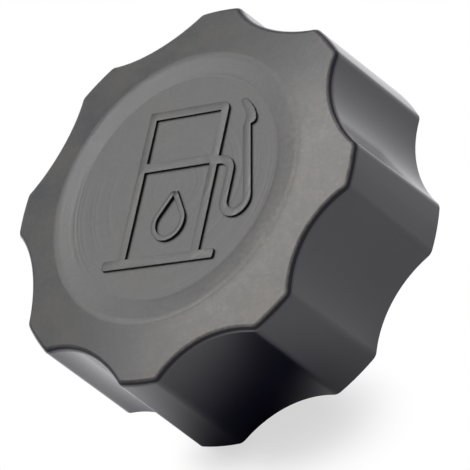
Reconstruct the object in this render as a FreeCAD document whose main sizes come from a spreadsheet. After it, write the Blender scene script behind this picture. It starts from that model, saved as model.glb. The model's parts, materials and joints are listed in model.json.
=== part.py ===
"""Fuel filler cap: an eight-lobed screw cap with a ratchet, a neck gasket and two vent valves.

The origin is the centre of the circle that the cover's rim stands on, +Z runs up through the
crown, and lobes lie on the X and Y axes. Lengths are millimetres and angles are degrees.
"""
import FreeCAD, Part
import math
import os
import re
import Sketcher

doc = FreeCAD.newDocument("FuelFillerCap")
sheet = doc.addObject("Spreadsheet::Sheet", "Sizes")

# Driving sizes: name, value, what it measures
SIZES = [
    # Outside of the cover
    ("rim_radius", 40.0, "centre to the outside of a lobe, at the rim"),
    ("side_draft", 2.17, "lean of the side wall, degrees"),
    ("crown_height", 28.4, "rim to the crest ring, the highest line"),
    ("shoulder_drop", 2.24, "crest ring down to the top edge of a lobe"),
    ("crest_radius", 27.5, "radius of the crest ring"),
    ("dish_radius", 23.0, "radius of the dish in the crown"),
    ("bevel_drop", 0.5, "crest ring down to the edge of the dish"),
    ("dish_sag", 0.15, "edge of the dish down to its middle"),
    ("lobe_count", 8, "finger lobes"),
    ("scallop_radius", 21.5, "radius of a finger scallop at the rim"),
    ("scallop_depth", 4.2, "lobe circle in to a scallop's floor"),
    ("corner_round", 2.0, "rounding of the upright corners of a lobe"),
    ("edge_round", 1.2, "rounding of the top edge"),
    ("crest_round", 4.0, "rounding of the crest ring"),
    ("dish_round", 2.5, "rounding of the dish's edge"),
    # Inside of the cover
    ("skirt_wall", 2.5, "wall of the skirt"),
    ("top_wall", 2.5, "wall of the crown"),
    ("collar_wall", 2.0, "wall of the inner collar"),
    ("collar_lead", 0.5, "collar below its snap lugs"),
    ("lug_count", 8, "snap lugs that hold the plug in the collar"),
    ("lug_width", 9.0, "width of a snap lug"),
    ("lug_height", 1.5, "height of a snap lug"),
    ("lug_reach", 1.1, "how far a snap lug stands into the collar"),
    ("lug_land", 0.4, "upright face of a snap lug over its lead-in"),
    ("rib_thickness", 1.4, "thickness of the ribs inside the lobes"),
    ("rib_foot", 6.5, "rim up to the foot of a rib at the skirt"),
    ("rib_shelf", 1.0, "flat foot of a rib beside the collar"),
    # Ratchet
    ("pawl_count", 6, "spring pawls on the ratchet ring"),
    ("teeth_per_pawl", 4, "ratchet teeth in the collar for each pawl"),
    ("tooth_height", 1.6, "height of a ratchet tooth"),
    ("tooth_land", 1.0, "crest land of a tooth, degrees"),
    ("tooth_root", 1.5, "root land between teeth, degrees"),
    ("pawl_backlash", 0.6, "pawl to the steep face of its tooth, degrees"),
    ("pawl_thickness", 1.3, "thickness of a pawl arm"),
    ("pawl_sweep", 50.0, "angle from a pawl's root to its nose, degrees"),
    ("pawl_bow", 22.0, "radius that a pawl arm is bowed to"),
    ("pawl_height", 5.0, "height of a pawl"),
    ("pawl_lift", 1.1, "flange up to the pawls"),
    ("ring_wall", 2.2, "wall of the ratchet ring's hub"),
    ("ring_height", 6.6, "height of the ratchet ring's hub"),
    ("key_count", 6, "keys between the plug's hub and the ring"),
    ("key_width", 2.4, "width of a key"),
    ("key_height", 0.9, "height of a key"),
    ("key_gap", 0.1, "clearance round a key"),
    # Plug
    ("ceiling_gap", 0.85, "plug's hub to the ceiling of the cover"),
    ("body_gap", 0.3, "clearance between the plug and the cover"),
    ("hub_radius", 20.0, "outside of the plug's hub"),
    ("hub_wall", 2.2, "wall of the plug's hub"),
    ("hub_height", 6.8, "flange to the top of the hub"),
    ("flange_radius", 28.6, "outside of the plug's flange"),
    ("flange_thickness", 2.4, "thickness of the flange"),
    ("flange_bevel", 0.5, "bevel that leads the flange past the snap lugs"),
    ("washer_thickness", 0.6, "thickness of the slip washer"),
    ("washer_gap", 1.25, "slip washer to the ratchet ring's hub"),
    ("thread_radius", 22.0, "crest of the neck thread"),
    ("thread_relief", 0.4, "thread crest in to the gasket's groove"),
    ("thread_lead", 0.8, "bevel at the foot of the thread"),
    ("plug_wall", 2.6, "wall of the threaded skirt"),
    ("plug_foot", 1.5, "rim of the cover up to the foot of the plug"),
    ("web_thickness", 3.0, "web between the valve tube and the threaded skirt"),
    ("tube_wall", 1.6, "wall of the valve tube"),
    ("tube_foot", 1.2, "foot of the plug up to the foot of the valve tube"),
    ("tube_top_drop", 2.0, "top of the hub down to the top of the valve tube"),
    ("plug_rib_count", 8, "ribs between the valve tube and the threaded skirt"),
    ("plug_rib_thickness", 1.5, "thickness of a plug rib"),
    ("plug_rib_foot", 3.0, "foot of the plug up to the foot of its ribs"),
    ("vent_slot_count", 4, "vent slots in the top of the hub"),
    ("vent_slot_width", 3.0, "width of a vent slot"),
    ("vent_slot_depth", 1.0, "depth of a vent slot"),
    # Seals
    ("gasket_thickness", 2.8, "thickness of the neck gasket"),
    ("gasket_gap", 0.5, "neck gasket to the snap lugs"),
    ("gasket_round", 0.5, "rounding of the neck gasket's edges"),
    ("fit_gap", 0.05, "clearance of parts pressed together"),
    # Valve housing and baffle
    ("housing_radius", 12.0, "outside of the valve housing"),
    ("housing_wall", 1.3, "wall of the valve housing"),
    ("housing_rise", 3.3, "foot of the valve tube up to the housing's floor"),
    ("housing_floor", 1.4, "thickness of the housing's floor"),
    ("housing_flange_reach", 1.4, "how far the housing's flange stands out"),
    ("housing_flange_thickness", 1.1, "thickness of the housing's flange"),
    ("housing_gasket_thickness", 0.6, "thickness of the housing gasket"),
    ("port_radius", 5.6, "port in the housing's floor"),
    ("seat_width", 1.2, "width of the valve seat"),
    ("seat_rise", 0.6, "height of the valve seat over the floor"),
    ("baffle_thickness", 1.2, "thickness of the splash baffle"),
    ("baffle_rim_wall", 1.2, "wall of the baffle's rim"),
    ("baffle_rim_height", 2.8, "height of the baffle's rim"),
    ("baffle_slot_count", 6, "slots in the baffle"),
    ("baffle_slot_length", 5.5, "length of a baffle slot"),
    ("baffle_slot_width", 1.8, "width of a baffle slot"),
    ("baffle_slot_inset", 2.6, "axis out to the near end of a baffle slot"),
    # Pressure valve
    ("seal_thickness", 1.2, "thickness of the pressure valve's seal"),
    ("seal_overlap", 2.0, "seal beyond the seat"),
    ("seal_lap", 1.5, "seal in over the port"),
    ("plate_radius", 9.6, "outside of the pressure valve"),
    ("plate_thickness", 1.5, "thickness of the pressure valve"),
    ("plate_rim_rise", 1.5, "spring rim over the pressure valve"),
    ("plate_rim_wall", 1.0, "wall of the spring rim"),
    ("spring_wire", 1.0, "wire of the pressure spring"),
    ("spring_turns", 4, "turns of the pressure spring"),
    ("spring_gap", 0.2, "pressure spring to the rim that it sits round"),
    ("retainer_thickness", 1.6, "thickness of the spring retainer"),
    ("retainer_bore", 4.0, "radius of the spring retainer's middle hole"),
    ("retainer_hole_count", 6, "vent holes in the spring retainer"),
    ("retainer_hole_radius", 1.1, "radius of a vent hole"),
    ("filter_thickness", 2.6, "thickness of the vent filter"),
    # Vacuum valve
    ("stem_radius", 1.2, "stem of the vacuum valve"),
    ("stem_gap", 0.4, "stem to the pressure valve's bore"),
    ("stem_length", 6.9, "head to the tip of the vacuum valve"),
    ("head_thickness", 1.2, "thickness of the vacuum valve's head"),
    ("head_gap", 0.3, "vacuum valve's head to the pressure valve's seal"),
    ("vacuum_seal_thickness", 0.6, "thickness of the vacuum valve's seal"),
    ("port_hole_count", 4, "ports through the pressure valve"),
    ("port_hole_radius", 0.5, "radius of a port through the pressure valve"),
    ("vacuum_wire", 0.45, "wire of the vacuum spring"),
    ("vacuum_turns", 4, "turns of the vacuum spring"),
    ("vacuum_spring_length", 3.5, "length of the vacuum spring at rest"),
    ("vacuum_spring_gap", 0.3, "vacuum spring to the stem"),
    ("cap_thickness", 0.6, "thickness of the push-on spring cap"),
    ("cap_overlap", 0.5, "spring cap beyond its spring"),
]
for row, (alias, value, meaning) in enumerate(SIZES, start=1):
    sheet.set(f"A{row}", alias)
    sheet.set(f"B{row}", str(value))
    sheet.set(f"C{row}", meaning)
    sheet.setAlias(f"B{row}", alias)
doc.recompute()
ALIASES = {alias for alias, _, _ in SIZES}


def bound(formula):
    """Return a formula on size names as an expression that reads the sheet."""
    return re.sub(r"[a-z_]+", lambda word: f"Sizes.{word[0]}" if word[0] in ALIASES else word[0], formula)


def number(formula):
    """Return what a formula on size names comes to."""
    return float(sheet.evalExpression(bound(formula)))


# Heights over the rim and radii that several parts share. Where two features of one moulding
# join, one runs into the other by a share of its wall.
CEILING = "(crown_height - bevel_drop - dish_sag - top_wall)"
HUB_TOP = f"({CEILING} - ceiling_gap)"
FLANGE_TOP = f"({HUB_TOP} - hub_height)"
FLANGE_BOTTOM = f"({FLANGE_TOP} - flange_thickness)"
GASKET_BOTTOM = f"({FLANGE_BOTTOM} - gasket_thickness)"
LUG_TOP = f"({FLANGE_BOTTOM} - body_gap)"
COLLAR_BOTTOM = f"({LUG_TOP} - lug_height - collar_lead)"
COLLAR_TOP = "(crown_height - 0.6 * top_wall)"
COLLAR_BORE = "(flange_radius + body_gap)"
COLLAR_OUTSIDE = f"({COLLAR_BORE} + collar_wall)"
TOOTH_BOTTOM = f"({FLANGE_TOP} + washer_thickness + body_gap)"
TOOTH_PITCH = "(360 / (pawl_count * teeth_per_pawl))"
RING_BORE = "(hub_radius + fit_gap)"
RING_OUTSIDE = f"({RING_BORE} + ring_wall)"
TUBE_TOP = f"({HUB_TOP} - tube_top_drop)"
TUBE_BOTTOM = "(plug_foot + tube_foot)"
TUBE_BORE = "(housing_radius + fit_gap)"
TUBE_OUTSIDE = f"({TUBE_BORE} + tube_wall)"
THREAD_BORE = "(thread_radius - plug_wall)"
NECK_RADIUS = "(thread_radius - thread_relief)"
HOUSING_BOTTOM = f"({TUBE_BOTTOM} + housing_rise)"
HOUSING_BORE = "(housing_radius - housing_wall)"
HOUSING_FLANGE = f"({TUBE_TOP} + housing_gasket_thickness)"
HOUSING_TOP = f"({HOUSING_FLANGE} + housing_flange_thickness)"
SEAT_TOP = f"({HOUSING_BOTTOM} + housing_floor + seat_rise)"
PLATE_BOTTOM = f"({SEAT_TOP} + seal_thickness)"
PLATE_TOP = f"({PLATE_BOTTOM} + plate_thickness)"
FILTER_BOTTOM = f"({HOUSING_TOP} - filter_thickness)"
RETAINER_BOTTOM = f"({FILTER_BOTTOM} - retainer_thickness)"
SEAL_BORE = "(port_radius - seal_lap)"
PLATE_BORE = "(stem_radius + stem_gap)"
HEAD_RADIUS = f"({SEAL_BORE} - head_gap)"
VACUUM_SEAL_BOTTOM = f"({PLATE_BOTTOM} - vacuum_seal_thickness)"
SPRING_RIM = "(port_radius + plate_rim_wall)"
CAP_BOTTOM = f"({PLATE_TOP} + vacuum_spring_length)"


def new_body(label):
    """Start a sub-part; its label is the name of its file."""
    body = doc.addObject("PartDesign::Body", "".join(word.title() for word in label.split("_")))
    body.Label = label
    return body


def origin_feature(body, role):
    """Return a body's own origin plane or axis."""
    return next(item for item in body.Origin.OriginFeatures if item.Role == role)


def add_sketch(body, name, role, offset=None):
    """Put a sketch on an origin plane of the body, raised along its normal by a formula."""
    sketch = body.newObject("Sketcher::SketchObject", name)
    sketch.AttachmentSupport = [(origin_feature(body, role), "")]
    sketch.MapMode = "FlatFace"
    if offset is not None:
        sketch.setExpression("AttachmentOffset.Base.z", bound(offset))
    return sketch


def constrain(sketch, kind, formula, *place):
    """Give a sketch a dimension that follows a formula."""
    index = sketch.addConstraint(Sketcher.Constraint(kind, *place, number(formula)))
    sketch.setExpression(f"Constraints[{index}]", bound(formula))


def bowed_edge(start, end, radius, side):
    """Return an arc from start to end, its centre to the left (1) or right (-1) of the run."""
    run = end - start
    normal = FreeCAD.Vector(-run.y, run.x, 0).normalize() * side
    centre = (start + end) * 0.5 + normal * math.sqrt(radius**2 - run.Length**2 / 4)
    return Part.Arc(start, centre - normal * radius, end)


def draw_outline(sketch, corners, arcs=None, rounds=None):
    """Draw a closed outline whose corners are pairs of formulas.

    arcs gives, for the edge that leaves a corner, a radius formula and the centre's side.
    rounds gives, for a corner, the radius formula that it is rounded to.
    """
    arcs = arcs or {}
    rounds = rounds or {}
    points = [FreeCAD.Vector(number(across), number(up), 0) for across, up in corners]
    count = len(points)
    for index, point in enumerate(points):
        following = points[(index + 1) % count]
        if index in arcs:
            radius, side = arcs[index]
            sketch.addGeometry(bowed_edge(point, following, number(radius), side))
        else:
            sketch.addGeometry(Part.LineSegment(point, following))

    def end_at(edge, point):
        return min((1, 2), key=lambda end: (sketch.getPoint(edge, end) - point).Length)

    for index in range(count):
        following = (index + 1) % count
        point = points[following]
        sketch.addConstraint(Sketcher.Constraint(
            "Coincident", index, end_at(index, point), following, end_at(following, point)))
    for index, (across, up) in enumerate(corners):
        end = end_at(index, points[index])
        for kind, formula, axis in (("DistanceX", across, -2), ("DistanceY", up, -1)):
            if formula == "0":
                sketch.addConstraint(Sketcher.Constraint("PointOnObject", index, end, axis))
            else:
                constrain(sketch, kind, formula, -1, 1, index, end)
    for index, (radius, _) in arcs.items():
        constrain(sketch, "Radius", radius, index)
    for index, radius in rounds.items():
        round_arc = sketch.GeometryCount
        sketch.fillet(index, end_at(index, points[index]), number(radius), True, True)
        constrain(sketch, "Radius", radius, round_arc)


def draw_circle(sketch, across, up, radius):
    """Draw a circle whose centre and radius are formulas."""
    centre = FreeCAD.Vector(number(across), number(up), 0)
    index = sketch.addGeometry(Part.Circle(centre, FreeCAD.Vector(0, 0, 1), number(radius)))
    constrain(sketch, "Radius", radius, index)
    for kind, formula, axis in (("DistanceX", across, -2), ("DistanceY", up, -1)):
        if formula == "0":
            sketch.addConstraint(Sketcher.Constraint("PointOnObject", index, 3, axis))
        else:
            constrain(sketch, kind, formula, -1, 1, index, 3)


def polar(radius, angle):
    """Return a corner given by radius and angle formulas."""
    return f"{radius} * cos({angle})", f"{radius} * sin({angle})"


def draw_bar(sketch, near, far, width, turn="0"):
    """Draw a bar from a near to a far radius along a direction turned from X."""
    corners = []
    for reach, side in ((near, "-"), (far, "-"), (far, "+"), (near, "+")):
        other = "+" if side == "-" else "-"
        corners.append((f"{reach} * cos({turn}) {other} 0.5 * {width} * sin({turn})",
                        f"{reach} * sin({turn}) {side} 0.5 * {width} * cos({turn})"))
    draw_outline(sketch, corners)


def revolve(body, name, corners, rounds=None, sweep=None):
    """Turn a profile of (radius, height) corners round the Z axis, wholly or centred on X."""
    sketch = add_sketch(body, f"{name}Profile", "XZ_Plane")
    draw_outline(sketch, corners, rounds=rounds)
    feature = body.newObject("PartDesign::Revolution", name)
    feature.Profile = sketch
    feature.ReferenceAxis = (sketch, ["V_Axis"])
    feature.Angle = 360
    if sweep:
        feature.Midplane = True
        feature.setExpression("Angle", bound(sweep))
    return feature


def pad(body, name, sketch, height, both_ways=False):
    """Raise a sketch along its normal by a formula."""
    feature = body.newObject("PartDesign::Pad", name)
    feature.Profile = sketch
    feature.Midplane = both_ways
    feature.setExpression("Length", bound(height))
    return feature


def pocket(body, name, sketch, depth, draft=None):
    """Cut a sketch away along its normal by a formula, widening by a draft if one is given."""
    feature = body.newObject("PartDesign::Pocket", name)
    feature.Profile = sketch
    feature.Reversed = True
    feature.setExpression("Length", bound(depth))
    if draft:
        feature.setExpression("TaperAngle", bound(draft))
    return feature


def pattern_round(body, name, feature, count):
    """Repeat a feature round the Z axis."""
    pattern = body.newObject("PartDesign::PolarPattern", name)
    pattern.Originals = [feature]
    pattern.Axis = (origin_feature(body, "Z_Axis"), [""])
    pattern.Angle = 360
    pattern.setExpression("Occurrences", bound(count))
    body.Tip = pattern
    doc.recompute()
    return pattern


def middle(edge):
    """Return the point halfway along an edge."""
    return edge.valueAt((edge.FirstParameter + edge.LastParameter) / 2)


def distance_out(point):
    """Return a point's distance from the Z axis."""
    return math.hypot(point.x, point.y)


def is_seam(edge):
    """Tell whether an edge is the line that a revolved face closes on."""
    return edge.BoundBox.YLength < 1e-6 and abs(edge.BoundBox.YMin) < 1e-6


def round_edges(body, name, base, picks, radius):
    """Round the edges of a feature that a test picks."""
    edges = [f"Edge{index}" for index, edge in enumerate(base.Shape.Edges, start=1)
             if not is_seam(edge) and picks(edge)]
    feature = body.newObject("PartDesign::Fillet", name)
    feature.Base = (base, edges)
    feature.setExpression("Radius", bound(radius))
    body.Tip = feature
    doc.recompute()
    return feature


def lobed_form(body, wall, crown_wall):
    """Build the lobed and drafted form of the cover, set in from its outside by a wall."""
    shoulder = f"(crown_height - shoulder_drop - {crown_wall})"
    dish_edge = f"(crown_height - bevel_drop - {crown_wall})"
    form = revolve(body, "Form", [
        ("0", "0"),
        (f"rim_radius - {wall}", "0"),
        (f"rim_radius - {wall} - {shoulder} * tan(side_draft)", shoulder),
        ("crest_radius", f"crown_height - {crown_wall}"),
        ("dish_radius", dish_edge),
        ("0", f"{dish_edge} - dish_sag"),
    ], rounds={3: "crest_round", 4: "dish_round"})
    # Each scallop is a slightly conical cut, because the side wall leans all round
    circle = add_sketch(body, "ScallopCircle", "XY_Plane")
    reach = "(rim_radius - scallop_depth + scallop_radius)"
    half_step = "(180 / lobe_count)"
    draw_circle(circle, f"{reach} * cos({half_step})", f"{reach} * sin({half_step})",
                f"scallop_radius + {wall}")
    scallop = pocket(body, "Scallop", circle, "crown_height", draft="side_draft")
    doc.recompute()
    assert scallop.Shape.Volume < form.Shape.Volume
    return pattern_round(body, "Scallops", scallop, "lobe_count")


def make_grip_cover():
    """Mould the cover: a lobed shell with a collar, snap lugs, ratchet teeth and ribs inside."""
    core = new_body("cover_core")
    lobed_form(core, "skirt_wall", "top_wall")

    body = new_body("grip_cover")
    lobes = lobed_form(body, "0", "0")
    tall = number("crown_height") / 2
    corners = round_edges(body, "CornerRounds", lobes, lambda edge: (
        edge.BoundBox.ZLength > tall), "corner_round")
    crest = number("crest_radius + crest_round")
    round_edges(body, "TopEdgeRound", corners, lambda edge: (
        edge.BoundBox.ZMin > tall and distance_out(middle(edge)) > crest), "edge_round")
    shell = body.newObject("PartDesign::Boolean", "Shell")
    shell.Type = "Cut"
    shell.setObjects([core])
    body.Tip = shell
    doc.recompute()

    revolve(body, "Collar", [
        (COLLAR_BORE, COLLAR_BOTTOM),
        (COLLAR_OUTSIDE, COLLAR_BOTTOM),
        (COLLAR_OUTSIDE, COLLAR_TOP),
        (COLLAR_BORE, COLLAR_TOP),
    ])

    # A gusset rib stands in every lobe, between the collar and the skirt
    rib_face = add_sketch(body, "RibFace", "XZ_Plane")
    inside = f"({COLLAR_OUTSIDE} - 0.5 * collar_wall)"
    outside = "(rim_radius - 0.5 * skirt_wall - crown_height * tan(side_draft))"
    under_shoulder = "(crown_height - shoulder_drop - 0.5 * top_wall)"
    draw_outline(rib_face, [
        (inside, COLLAR_BOTTOM),
        (f"{COLLAR_OUTSIDE} + rib_shelf", COLLAR_BOTTOM),
        (outside, "rib_foot"),
        (outside, under_shoulder),
        (inside, COLLAR_TOP),
    ])
    rib = pad(body, "Rib", rib_face, "rib_thickness", both_ways=True)
    pattern_round(body, "Ribs", rib, "lobe_count")

    # The snap lugs hold the plug's flange on their flat tops, and lean below to let it in
    collar_middle = f"({COLLAR_BORE} + 0.5 * collar_wall)"
    lug = revolve(body, "Lug", [
        (collar_middle, LUG_TOP),
        (f"({COLLAR_BORE} - lug_reach)", LUG_TOP),
        (f"({COLLAR_BORE} - lug_reach)", f"({LUG_TOP} - lug_land)"),
        (COLLAR_BORE, f"({LUG_TOP} - lug_height)"),
        (collar_middle, f"({LUG_TOP} - lug_height)"),
    ], sweep=f"180 / pi * lug_width / {COLLAR_BORE}")
    pattern_round(body, "Lugs", lug, "lug_count")

    # A ratchet tooth has one steep face and one long ramp
    tooth_plan = add_sketch(body, "ToothPlan", "XY_Plane", TOOTH_BOTTOM)
    crest = f"({COLLAR_BORE} - tooth_height)"
    draw_outline(tooth_plan, [polar(radius, angle) for radius, angle in (
        (collar_middle, TOOTH_PITCH),
        (crest, TOOTH_PITCH),
        (crest, f"({TOOTH_PITCH} - tooth_land)"),
        (COLLAR_BORE, "tooth_root"),
        (collar_middle, "tooth_root"),
    )])
    tooth = pad(body, "Tooth", tooth_plan, f"{COLLAR_TOP} - {TOOTH_BOTTOM}")
    pattern_round(body, "Teeth", tooth, "pawl_count * teeth_per_pawl")
    return body


def make_closure_plug():
    """Mould the plug: threaded skirt, flange, keyed hub and valve tube in one piece."""
    body = new_body("closure_plug")
    hub_bore = "(hub_radius - hub_wall)"
    web_bottom = f"({FLANGE_TOP} - web_thickness)"
    revolve(body, "PlugForm", [
        (TUBE_BORE, TUBE_BOTTOM),
        (TUBE_OUTSIDE, TUBE_BOTTOM),
        (TUBE_OUTSIDE, web_bottom),
        (THREAD_BORE, web_bottom),
        (THREAD_BORE, "plug_foot"),
        ("thread_radius - thread_lead", "plug_foot"),
        ("thread_radius", "plug_foot + thread_lead"),
        ("thread_radius", GASKET_BOTTOM),
        (NECK_RADIUS, GASKET_BOTTOM),
        (NECK_RADIUS, FLANGE_BOTTOM),
        ("flange_radius", FLANGE_BOTTOM),
        ("flange_radius", f"{FLANGE_TOP} - flange_bevel"),
        ("flange_radius - flange_bevel", FLANGE_TOP),
        ("hub_radius", FLANGE_TOP),
        ("hub_radius", HUB_TOP),
        (hub_bore, HUB_TOP),
        (hub_bore, FLANGE_TOP),
        (TUBE_OUTSIDE, FLANGE_TOP),
        (TUBE_OUTSIDE, TUBE_TOP),
        (TUBE_BORE, TUBE_TOP),
    ])
    # Ribs stiffen the underside between the valve tube and the threaded skirt
    rib_face = add_sketch(body, "PlugRibFace", "XZ_Plane")
    rib_inside = f"({TUBE_OUTSIDE} - 0.5 * tube_wall)"
    rib_outside = f"({THREAD_BORE} + 0.5 * plug_wall)"
    rib_foot = "(plug_foot + plug_rib_foot)"
    rib_top = f"({web_bottom} + 0.5 * web_thickness)"
    draw_outline(rib_face, [
        (rib_inside, rib_foot), (rib_outside, rib_foot), (rib_outside, rib_top), (rib_inside, rib_top)])
    rib = pad(body, "PlugRib", rib_face, "plug_rib_thickness", both_ways=True)
    pattern_round(body, "PlugRibs", rib, "plug_rib_count")
    # Keys on the hub carry the ratchet ring
    key_face = add_sketch(body, "KeyPlan", "XY_Plane", FLANGE_TOP)
    draw_bar(key_face, "(hub_radius - 0.5 * hub_wall)", "(hub_radius + key_height)", "key_width")
    key = pad(body, "Key", key_face, "hub_height")
    pattern_round(body, "Keys", key, "key_count")
    # Vent slots let the valve breathe over the hub
    slot_plan = add_sketch(body, "VentSlotPlan", "XY_Plane", f"{HUB_TOP} - vent_slot_depth")
    turn = "(180 / key_count)"
    draw_bar(slot_plan, f"({hub_bore} - hub_wall)", "(hub_radius + hub_wall)", "vent_slot_width", turn)
    slot = pocket(body, "VentSlot", slot_plan, "vent_slot_depth * 2")
    pattern_round(body, "VentSlots", slot, "vent_slot_count")
    return body


def make_ratchet_ring():
    """Mould the ratchet ring: a keyed hub with bowed spring pawls."""
    body = new_body("ratchet_ring")
    revolve(body, "RingHub", [
        (RING_BORE, FLANGE_TOP),
        (RING_OUTSIDE, FLANGE_TOP),
        (RING_OUTSIDE, f"{FLANGE_TOP} + ring_height"),
        (RING_BORE, f"{FLANGE_TOP} + ring_height"),
    ])
    keyway_plan = add_sketch(body, "KeywayPlan", "XY_Plane", FLANGE_TOP)
    draw_bar(keyway_plan, f"({RING_BORE} - key_height)", f"({RING_BORE} + key_height + key_gap)",
             "(key_width + 2 * key_gap)")
    keyway = pocket(body, "Keyway", keyway_plan, "ring_height")
    pattern_round(body, "Keyways", keyway, "key_count")

    # The nose lies in a tooth gap, and the arm runs back from it to the hub
    pawl_plan = add_sketch(body, "PawlPlan", "XY_Plane", f"{FLANGE_TOP} + pawl_lift")
    nose = "pawl_backlash"
    ramp_top = "tooth_root"
    ramp_foot = f"({TOOTH_PITCH} - tooth_land)"
    nose_radius = f"({COLLAR_BORE} - body_gap)"
    under_teeth = f"({COLLAR_BORE} - tooth_height - body_gap)"
    root_radius = f"({RING_OUTSIDE} - 0.3 * ring_wall)"
    draw_outline(pawl_plan, [polar(radius, angle) for radius, angle in (
        (f"({under_teeth} - pawl_thickness)", nose),
        (nose_radius, nose),
        (nose_radius, ramp_top),
        (under_teeth, ramp_foot),
        (f"({root_radius} + 0.5 * pawl_thickness)", "pawl_sweep"),
        (f"({root_radius} - 0.5 * pawl_thickness)", "pawl_sweep"),
        (f"({under_teeth} - pawl_thickness)", ramp_foot),
    )], arcs={3: ("pawl_bow", -1), 5: ("(pawl_bow - 0.5 * pawl_thickness)", 1)})
    pawl = pad(body, "Pawl", pawl_plan, "pawl_height")
    pattern_round(body, "Pawls", pawl, "pawl_count")
    return body


def make_ring(label, inside, outside, bottom, top):
    """Make a plain ring or disc between two radii and two heights."""
    body = new_body(label)
    revolve(body, "Ring", [(inside, bottom), (outside, bottom), (outside, top), (inside, top)])
    return body


def make_neck_gasket():
    """Mould the rubber gasket that seals the cap on the rim of the filler neck."""
    outside = f"({COLLAR_BORE} - lug_reach - gasket_gap)"
    body = make_ring("neck_gasket", f"({NECK_RADIUS} + fit_gap)", outside, GASKET_BOTTOM, FLANGE_BOTTOM)
    doc.recompute()
    ring = body.Tip
    bottom = number(GASKET_BOTTOM)
    reach = number(outside)
    round_edges(body, "GasketRound", ring, lambda edge: (
        edge.BoundBox.ZMax < bottom + 1e-3 and abs(distance_out(middle(edge)) - reach) < 1e-3),
        "gasket_round")
    return body


def make_splash_baffle():
    """Mould the slotted cup that closes the foot of the valve tube."""
    body = new_body("splash_baffle")
    outside = f"({TUBE_BORE} - fit_gap)"
    rim_bore = f"({outside} - baffle_rim_wall)"
    revolve(body, "BaffleForm", [
        ("0", TUBE_BOTTOM),
        (outside, TUBE_BOTTOM),
        (outside, f"{TUBE_BOTTOM} + baffle_rim_height"),
        (rim_bore, f"{TUBE_BOTTOM} + baffle_rim_height"),
        (rim_bore, f"{TUBE_BOTTOM} + baffle_thickness"),
        ("0", f"{TUBE_BOTTOM} + baffle_thickness"),
    ])
    slot_plan = add_sketch(body, "BaffleSlotPlan", "XY_Plane", TUBE_BOTTOM)
    slot_end = "(baffle_slot_inset + baffle_slot_length)"
    draw_bar(slot_plan, "baffle_slot_inset", slot_end, "baffle_slot_width")
    slot = pocket(body, "BaffleSlot", slot_plan, "baffle_thickness")
    pattern_round(body, "BaffleSlots", slot, "baffle_slot_count")
    return body


def make_valve_housing():
    """Mould the flanged cup that holds both valves, with a raised seat round its port."""
    body = new_body("valve_housing")
    floor_top = f"({HOUSING_BOTTOM} + housing_floor)"
    seat_outside = "(port_radius + seat_width)"
    reach = "(housing_radius + housing_flange_reach)"
    revolve(body, "HousingForm", [
        ("port_radius", HOUSING_BOTTOM),
        ("housing_radius", HOUSING_BOTTOM),
        ("housing_radius", HOUSING_FLANGE),
        (reach, HOUSING_FLANGE),
        (reach, HOUSING_TOP),
        (HOUSING_BORE, HOUSING_TOP),
        (HOUSING_BORE, floor_top),
        (seat_outside, floor_top),
        (seat_outside, SEAT_TOP),
        ("port_radius", SEAT_TOP),
    ])
    return body


def make_pressure_valve():
    """Mould the pressure valve: a disc with a spring rim, a stem bore and ports."""
    body = new_body("pressure_valve")
    revolve(body, "PlateForm", [
        (PLATE_BORE, PLATE_BOTTOM),
        ("plate_radius", PLATE_BOTTOM),
        ("plate_radius", PLATE_TOP),
        (SPRING_RIM, PLATE_TOP),
        (SPRING_RIM, f"{PLATE_TOP} + plate_rim_rise"),
        ("port_radius", f"{PLATE_TOP} + plate_rim_rise"),
        ("port_radius", PLATE_TOP),
        (PLATE_BORE, PLATE_TOP),
    ])
    port_plan = add_sketch(body, "PortPlan", "XY_Plane", PLATE_BOTTOM)
    draw_circle(port_plan, f"0.5 * ({PLATE_BORE} + {HEAD_RADIUS})", "0", "port_hole_radius")
    port = pocket(body, "Port", port_plan, "plate_thickness")
    pattern_round(body, "Ports", port, "port_hole_count")
    return body


def make_spring_retainer():
    """Mould the disc that the pressure spring pushes on, with its vent holes."""
    body = make_ring("spring_retainer", "retainer_bore", f"({HOUSING_BORE} - fit_gap)",
                     RETAINER_BOTTOM, FILTER_BOTTOM)
    hole_plan = add_sketch(body, "RetainerHolePlan", "XY_Plane", RETAINER_BOTTOM)
    draw_circle(hole_plan, f"0.5 * (retainer_bore + {HOUSING_BORE})", "0", "retainer_hole_radius")
    hole = pocket(body, "RetainerHole", hole_plan, "retainer_thickness")
    pattern_round(body, "RetainerHoles", hole, "retainer_hole_count")
    return body


def make_vacuum_valve():
    """Mould the mushroom-shaped vacuum valve: a head under the seat and a stem through it."""
    body = new_body("vacuum_valve")
    head_bottom = f"({VACUUM_SEAL_BOTTOM} - head_thickness)"
    revolve(body, "MushroomForm", [
        ("0", head_bottom),
        (HEAD_RADIUS, head_bottom),
        (HEAD_RADIUS, VACUUM_SEAL_BOTTOM),
        ("stem_radius", VACUUM_SEAL_BOTTOM),
        ("stem_radius", f"{VACUUM_SEAL_BOTTOM} + stem_length - 0.5 * stem_radius"),
        ("0.5 * stem_radius", f"{VACUUM_SEAL_BOTTOM} + stem_length"),
        ("0", f"{VACUUM_SEAL_BOTTOM} + stem_length"),
    ])
    return body


def make_spring(label, coil_radius, wire, turns, bottom, top):
    """Wind a compression spring between two heights, of wire with as many sides as look round."""
    body = new_body(label)
    section = add_sketch(body, "WireSection", "XZ_Plane")
    sides = 12
    draw_outline(section, [
        (f"{coil_radius} + 0.5 * {wire} * cos({turn})", f"{bottom} + 0.5 * {wire} * (1 + sin({turn}))")
        for turn in (360 * side / sides for side in range(sides))])
    coil = body.newObject("PartDesign::AdditiveHelix", "Coil")
    coil.Profile = section
    coil.ReferenceAxis = (section, ["V_Axis"])
    coil.Mode = "height-turns-angle"
    coil.setExpression("Height", bound(f"{top} - {bottom} - {wire}"))
    coil.setExpression("Turns", bound(turns))
    return body


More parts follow.
